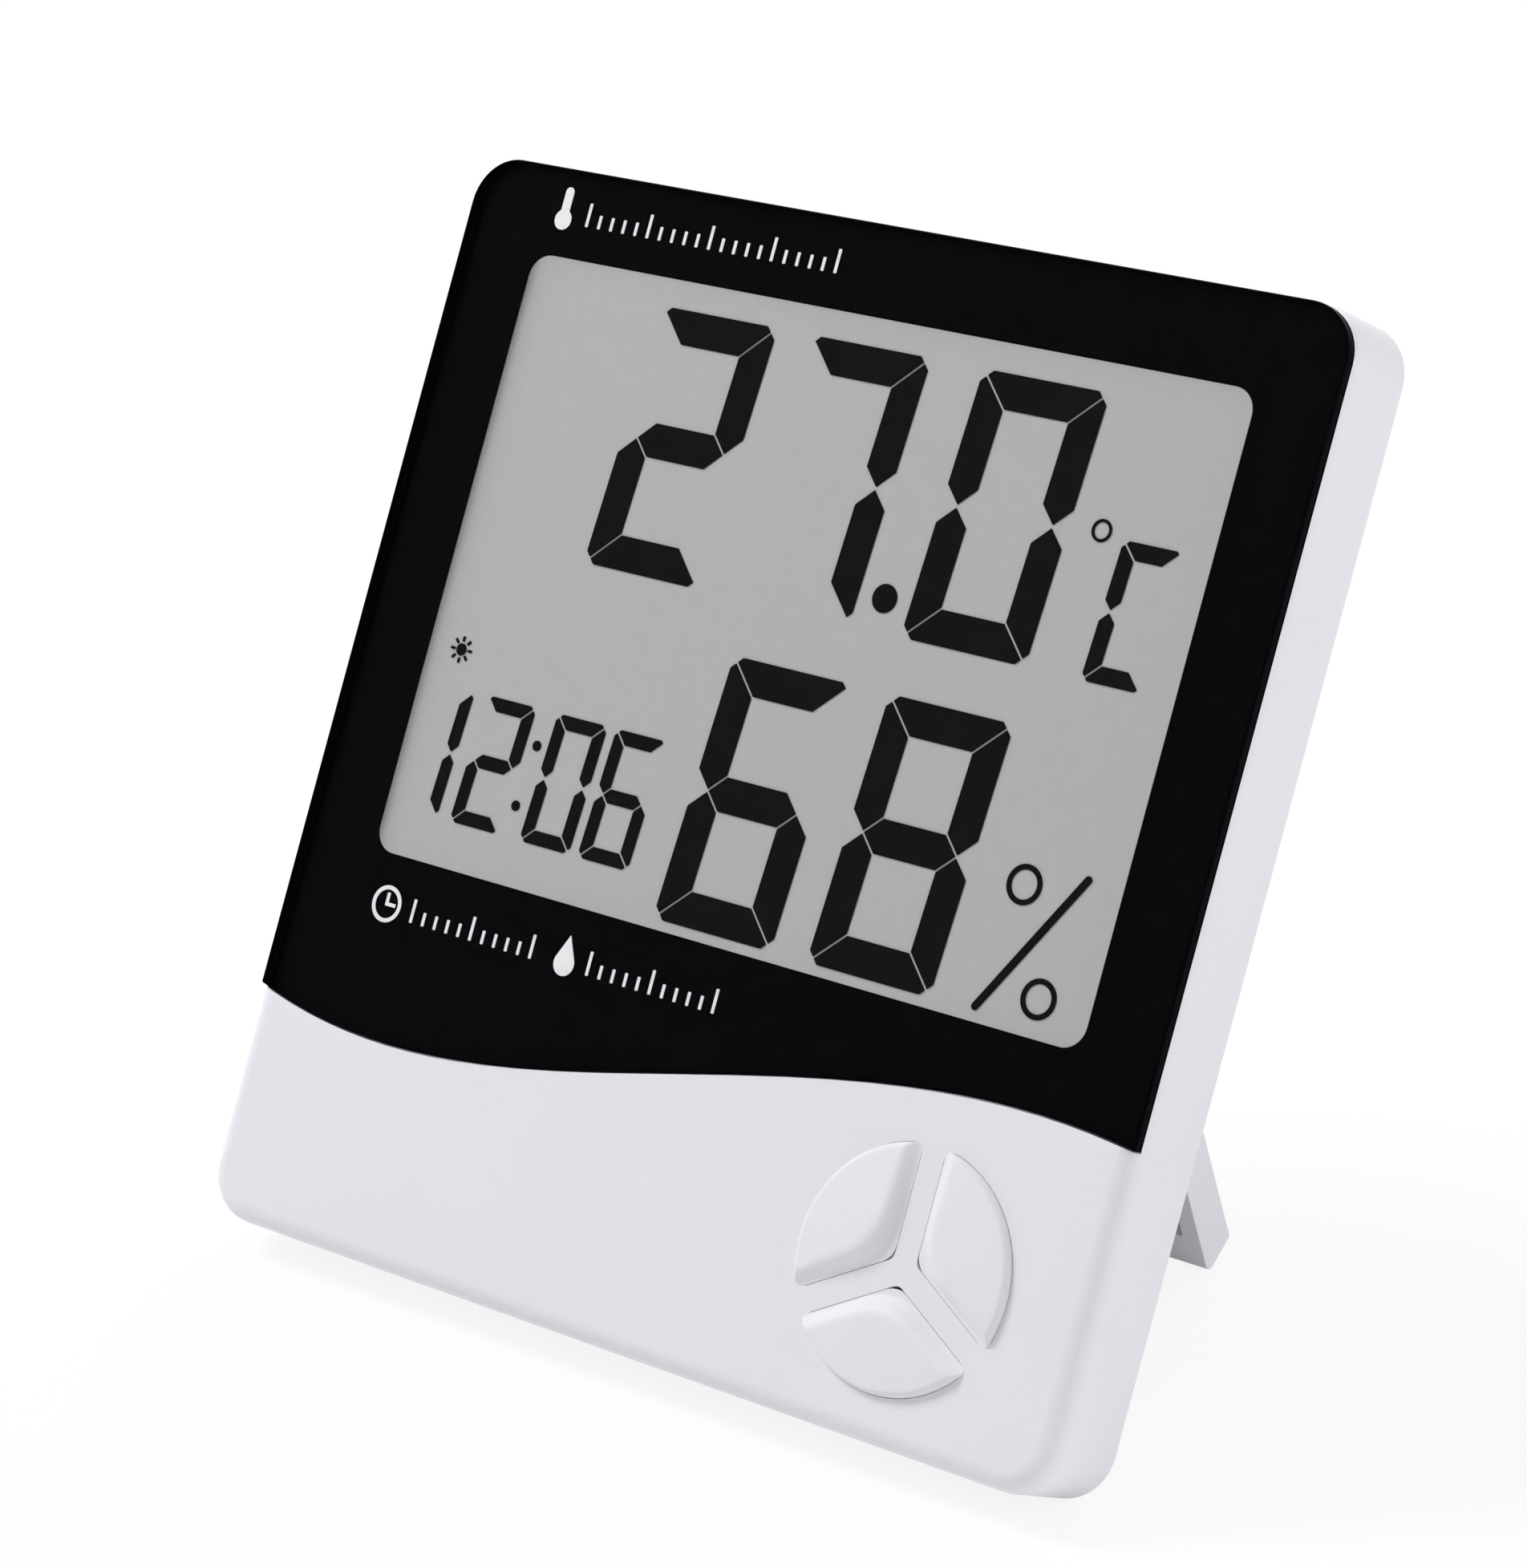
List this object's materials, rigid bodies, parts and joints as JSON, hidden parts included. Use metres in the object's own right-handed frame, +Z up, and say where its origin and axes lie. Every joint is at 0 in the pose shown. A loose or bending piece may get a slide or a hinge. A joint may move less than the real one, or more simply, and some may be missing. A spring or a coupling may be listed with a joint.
{
  "type": "thermometer hygrometer clock",
  "caption": "Desk thermometer hygrometer clock: white case, dark lens with a wavy lower edge, round key group, fold-out rear stand, and a keyhole for hanging on a wall.",
  "frame": {"origin": "middle of the box that the leaning clock stands in, on the surface it stands on", "axes": "+Z up, +Y towards the back, +X to the right seen from the front; the clock leans back onto its stand"},
  "size_m": [0.1, 0.0594, 0.1006],
  "materials": {
    "case_plastic": "fine satin moulding",
    "key_plastic": "satin moulding",
    "lens_clear": "clear acrylic plate",
    "black_print": "black print on film",
    "white_print": "white print",
    "lcd_film": "polarizing film",
    "lcd_glass": "thin display glass",
    "lcd_dark": "dark lit segments",
    "lcd_back": "grey reflecting film",
    "dark_rubber": "conductive rubber strip",
    "foam": "soft foam",
    "board_green": "solder mask",
    "black_resin": "moulded resin",
    "bare_steel": "plated steel",
    "part_tan": "ceramic body",
    "sensor_white": "moulded body",
    "brass": "thin brass sheet",
    "wire_red": "insulated wire",
    "cell_wrap": "plain cell wrap"
  },
  "bodies": {
    "case": {"front_case": "case_plastic", "rear_case": "case_plastic", "display_lens": "lens_clear", "lens_mask": "black_print", "lens_icons": "white_print", "lcd_front_polarizer": "lcd_film", "lcd_front_glass": "lcd_glass", "lcd_segments": "lcd_dark", "lcd_rear_glass": "lcd_glass", "lcd_reflector": "lcd_back", "zebra_strip": "dark_rubber", "lcd_foam_pads": "foam", "main_board": "board_green", "chip_cap": "black_resin", "clock_crystal": "bare_steel", "board_capacitors": "part_tan", "board_resistors": "black_resin", "humidity_sensor": "sensor_white", "temperature_sensor": "part_tan", "buzzer_disc": "brass", "buzzer_ceramic": "sensor_white", "buzzer_wires": "wire_red", "battery_cell": "cell_wrap", "battery_spring": "bare_steel", "battery_contacts": "bare_steel", "battery_wires": "wire_red", "stand_hinge_pin": "bare_steel", "case_screws": "bare_steel", "board_screws": "bare_steel", "key_switches": "black_resin", "rear_key_switches": "black_resin"},
    "stand": {"stand": "case_plastic"},
    "battery_door": {"battery_door": "case_plastic"},
    "button_left": {"button_left": "key_plastic", "plunger_left": "sensor_white"},
    "button_right": {"button_right": "key_plastic", "plunger_right": "sensor_white"},
    "button_bottom": {"button_bottom": "key_plastic", "plunger_bottom": "sensor_white"},
    "rear_key_unit": {"rear_key_unit": "key_plastic", "rear_plunger_unit": "sensor_white"},
    "rear_key_reset": {"rear_key_reset": "key_plastic", "rear_plunger_reset": "sensor_white"}
  },
  "joints": [
    {"name": "stand_fold", "type": "hinge", "parent": "case", "child": "stand", "pos_m": [0, 0.00894, 0.04676], "axis": [1, 0, 0], "range_deg": [-47.3, 0]},
    {"name": "battery_door_slide", "type": "slide", "parent": "case", "child": "battery_door", "axis": [0, 0.4201, 0.9075], "range_m": [0, 0.0045]},
    {"name": "press_button_left", "type": "slide", "parent": "case", "child": "button_left", "axis": [0, 0.9075, -0.4201], "range_m": [0, 0.0005], "stiffness_N_per_m": 400},
    {"name": "press_button_right", "type": "slide", "parent": "case", "child": "button_right", "axis": [0, 0.9075, -0.4201], "range_m": [0, 0.0005], "stiffness_N_per_m": 400},
    {"name": "press_button_bottom", "type": "slide", "parent": "case", "child": "button_bottom", "axis": [0, 0.9075, -0.4201], "range_m": [0, 0.0005], "stiffness_N_per_m": 400},
    {"name": "press_rear_key_unit", "type": "slide", "parent": "case", "child": "rear_key_unit", "axis": [0, -0.9075, 0.4201], "range_m": [0, 0.0005], "stiffness_N_per_m": 400},
    {"name": "press_rear_key_reset", "type": "slide", "parent": "case", "child": "rear_key_reset", "axis": [0, -0.9075, 0.4201], "range_m": [0, 0.0005], "stiffness_N_per_m": 400}
  ]
}
